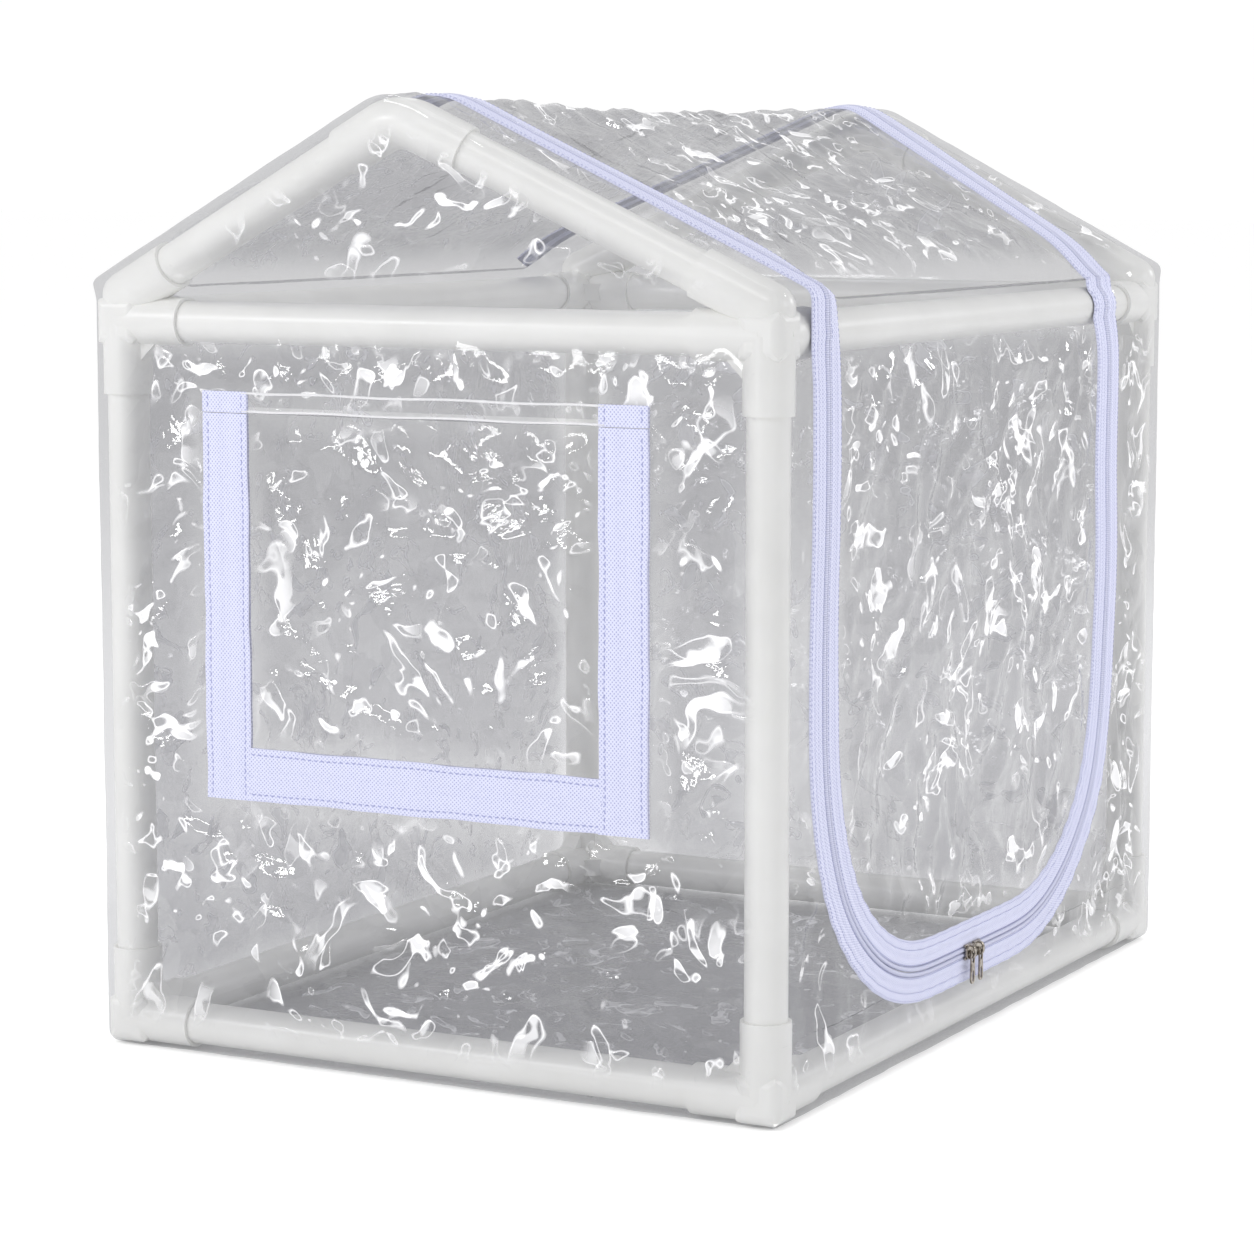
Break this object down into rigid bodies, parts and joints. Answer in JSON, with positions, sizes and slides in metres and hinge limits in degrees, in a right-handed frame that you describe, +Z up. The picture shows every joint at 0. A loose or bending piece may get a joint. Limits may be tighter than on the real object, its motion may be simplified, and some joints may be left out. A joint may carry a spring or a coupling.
{
  "type": "calf hutch",
  "caption": "Small house-shaped animal hutch: a push-fit plastic pipe frame in a clear film cover with a wrap-over zipped door and a hook-and-loop window flap.",
  "frame": {"origin": "middle of the footprint, on the ground under the floor film", "axes": "+Z up, +Y along the ridge away from the window wall, +X towards the side wall with the zipped door"},
  "size_m": [0.4701, 0.6848, 0.5816],
  "materials": {
    "pipe": "satin",
    "fitting": "satin",
    "film": "gloss, clear, crinkled",
    "zip_tape": "woven",
    "zip_coil": "satin",
    "hook_loop": "woven",
    "slider_metal": "plated"
  },
  "bodies": {
    "hutch": {"post_front_left": "pipe", "post_front_right": "pipe", "post_rear_left": "pipe", "post_rear_right": "pipe", "bottom_rail_front": "pipe", "bottom_rail_rear": "pipe", "bottom_rail_left": "pipe", "bottom_rail_right": "pipe", "top_rail_front": "pipe", "top_rail_rear": "pipe", "top_rail_left": "pipe", "top_rail_right": "pipe", "rafter_front_left": "pipe", "rafter_front_right": "pipe", "rafter_rear_left": "pipe", "rafter_rear_right": "pipe", "foot_corner_front_left": "fitting", "foot_corner_front_right": "fitting", "foot_corner_rear_left": "fitting", "foot_corner_rear_right": "fitting", "eave_corner_front_left": "fitting", "eave_corner_front_right": "fitting", "eave_corner_rear_left": "fitting", "eave_corner_rear_right": "fitting", "ridge_elbow_front": "fitting", "ridge_elbow_rear": "fitting", "floor_film": "film", "window_wall_film": "film", "rear_wall_film": "film", "left_wall_film": "film", "door_wall_film": "film", "front_gable_film": "film", "rear_gable_film": "film", "roof_film_front_left": "film", "roof_film_front_right": "film", "roof_film_rear_left": "film", "roof_film_rear_right": "film", "flap_header": "film", "loop_strips": "hook_loop", "strip_tabs": "hook_loop", "zip_tape_fixed": "zip_tape", "zip_coil_fixed": "zip_coil"},
    "door_left_slope": {"door_film_left_slope": "film", "zip_tape_left_slope": "zip_tape", "zip_coil_left_slope": "zip_coil"},
    "door_right_slope": {"door_film_right_slope": "film", "zip_tape_right_slope": "zip_tape", "zip_coil_right_slope": "zip_coil"},
    "door_side": {"door_film_side": "film", "zip_tape_side": "zip_tape", "zip_coil_side": "zip_coil"},
    "window_flap": {"flap_film": "film", "hook_strip_left": "hook_loop", "hook_strip_right": "hook_loop", "hook_strip_bottom": "hook_loop"},
    "front_slider": {"slider_front": "slider_metal"},
    "rear_slider": {"slider_rear": "slider_metal"},
    "front_pull": {"pull_front": "slider_metal"},
    "rear_pull": {"pull_rear": "slider_metal"}
  },
  "joints": [
    {"name": "left_slope_fold", "type": "hinge", "parent": "hutch", "child": "door_left_slope", "pos_m": [-0.2309, 0, 0.46794], "axis": [0, -1, 0], "range_deg": [0, 100]},
    {"name": "ridge_fold", "type": "hinge", "parent": "door_left_slope", "child": "door_right_slope", "pos_m": [0, 0, 0.58159], "axis": [0, -1, 0], "range_deg": [0, 150]},
    {"name": "right_eave_fold", "type": "hinge", "parent": "door_right_slope", "child": "door_side", "pos_m": [0.2309, 0, 0.46794], "axis": [0, -1, 0], "range_deg": [0, 150]},
    {"name": "window_flap_lift", "type": "hinge", "parent": "hutch", "child": "window_flap", "pos_m": [0, -0.3032, 0.39175], "axis": [-1, 0, 0], "range_deg": [0, 160]},
    {"name": "front_slider_run", "type": "slide", "parent": "door_side", "child": "front_slider", "axis": [0, -1, 0], "range_m": [0, 0.05]},
    {"name": "rear_slider_run", "type": "slide", "parent": "door_side", "child": "rear_slider", "axis": [0, 1, 0], "range_m": [0, 0.06]},
    {"name": "front_pull_swing", "type": "hinge", "parent": "front_slider", "child": "front_pull", "pos_m": [0.2363, -0.0365, 0.054], "axis": [0, -1, 0], "range_deg": [0, 150]},
    {"name": "rear_pull_swing", "type": "hinge", "parent": "rear_slider", "child": "rear_pull", "pos_m": [0.2363, -0.0235, 0.054], "axis": [0, -1, 0], "range_deg": [0, 150]}
  ]
}
